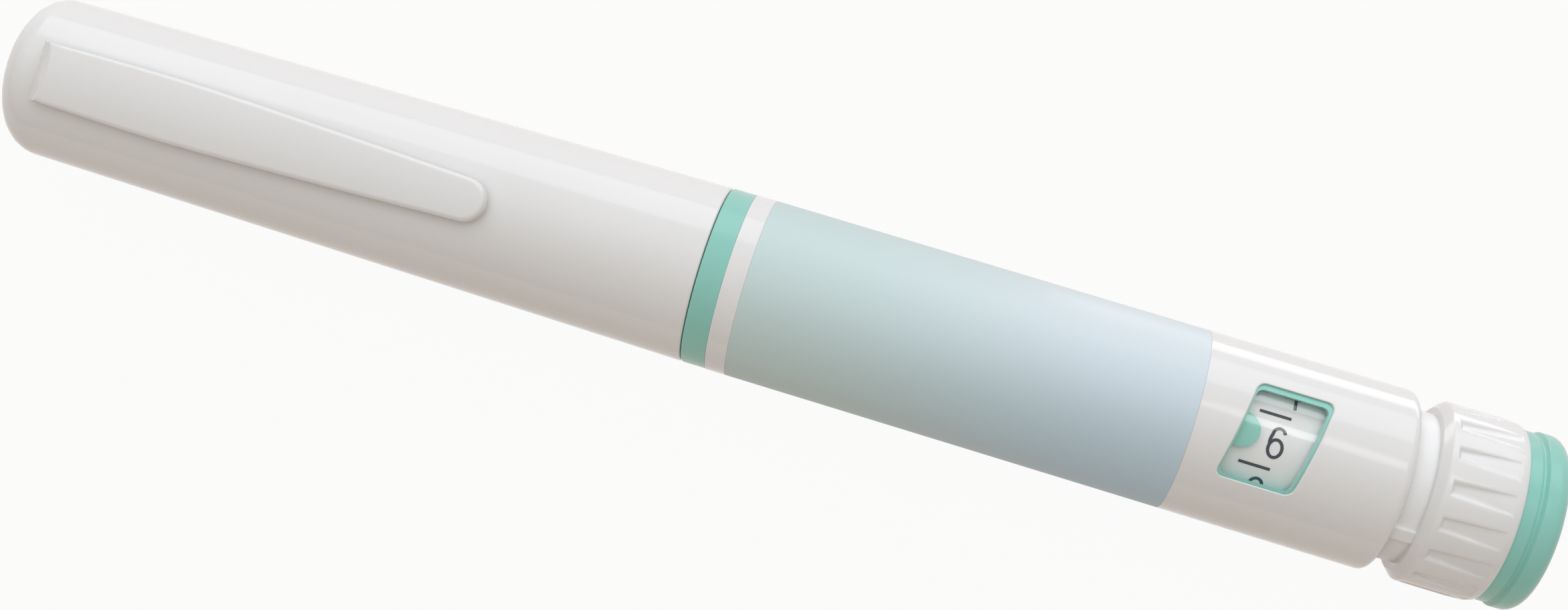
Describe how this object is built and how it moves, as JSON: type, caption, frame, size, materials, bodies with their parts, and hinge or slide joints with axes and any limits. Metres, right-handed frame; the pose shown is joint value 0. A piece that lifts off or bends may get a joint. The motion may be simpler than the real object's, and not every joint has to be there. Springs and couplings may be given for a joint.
{
  "type": "prefilled injection pen",
  "caption": "Dial-and-press prefilled injection pen: pull-off cap with pocket clip, leaning dose window over a number sleeve, grip knob and injection button, glass cartridge inside.",
  "frame": {"origin": "on the pen's axis at the front face of the needle thread, under the cap", "axes": "+X along the pen from the needle end to the button, +Z through the dose window, which faces up as the pen lies, +Y square to both"},
  "size_m": [0.1515, 0.0174, 0.0188],
  "materials": {
    "white_shell": "satin moulded",
    "teal": "satin moulded",
    "label_film": "satin film",
    "clear_lens": "clear polished",
    "clear_holder": "clear moulded",
    "cartridge_glass": "clear drawn glass",
    "crimp_metal": "bright crimped",
    "grey_rubber": "matte moulded",
    "inner_white": "matte moulded",
    "inner_ivory": "matte moulded",
    "spring_steel": "drawn wire",
    "drum_white": "satin, slightly translucent"
  },
  "bodies": {
    "pen_body": {"housing": "white_shell", "trim_ring": "teal", "label": "label_film", "window_frame": "teal", "window_lens": "clear_lens", "cartridge_holder": "clear_holder", "cartridge_glass": "cartridge_glass", "crimp_cap": "crimp_metal", "septum": "grey_rubber", "cartridge_cushion": "inner_white", "threaded_insert": "inner_ivory"},
    "cap": {"cap_shell": "white_shell"},
    "clip": {"pocket_clip": "white_shell"},
    "plunger": {"plunger_stopper": "grey_rubber", "pressure_foot": "inner_white"},
    "rod": {"piston_rod": "inner_white"},
    "carriage": {"drive_sleeve": "inner_ivory", "last_dose_nut": "inner_ivory", "click_ring": "inner_white", "clutch_spring": "spring_steel"},
    "dial": {"number_sleeve": "drum_white", "dose_knob": "white_shell"},
    "button": {"clutch_sleeve": "inner_ivory", "button_stem": "inner_white", "injection_button": "teal"}
  },
  "joints": [
    {"name": "cap_slide", "type": "slide", "parent": "pen_body", "child": "cap", "axis": [-1, 0, 0], "range_m": [0, 0.1]},
    {"name": "clip_flex", "type": "hinge", "parent": "cap", "child": "clip", "pos_m": [0.0004, -0.00056, 0.00756], "axis": [0, -0.9973, -0.0732], "range_deg": [0, 4], "stiffness_Nm_per_rad": 1.5},
    {"name": "dose_slide", "type": "slide", "parent": "pen_body", "child": "carriage", "axis": [1, 0, 0], "range_m": [-0.00177, 0.0159]},
    {"name": "dial_turn", "type": "hinge", "parent": "carriage", "child": "dial", "pos_m": [0.12, 0, 0], "axis": [-1, 0, 0], "range_deg": [-120, 1080]},
    {"name": "button_press", "type": "slide", "parent": "carriage", "child": "button", "axis": [-1, 0, 0], "range_m": [0, 0.0012], "stiffness_N_per_m": 1000, "springref_m": -0.0005, "deforming": ["clutch_spring"]},
    {"name": "plunger_slide", "type": "slide", "parent": "pen_body", "child": "plunger", "axis": [-1, 0, 0], "range_m": [0, 0.0405]},
    {"name": "rod_turn", "type": "hinge", "parent": "plunger", "child": "rod", "pos_m": [0.07, 0, 0], "axis": [-1, 0, 0], "range_deg": [0, 2752]}
  ],
  "couplings": [
    {"joint": "dial_turn", "follows": "dose_slide", "rad_per_m": 1185.5},
    {"joint": "rod_turn", "follows": "plunger_slide", "rad_per_m": 1185.5}
  ]
}
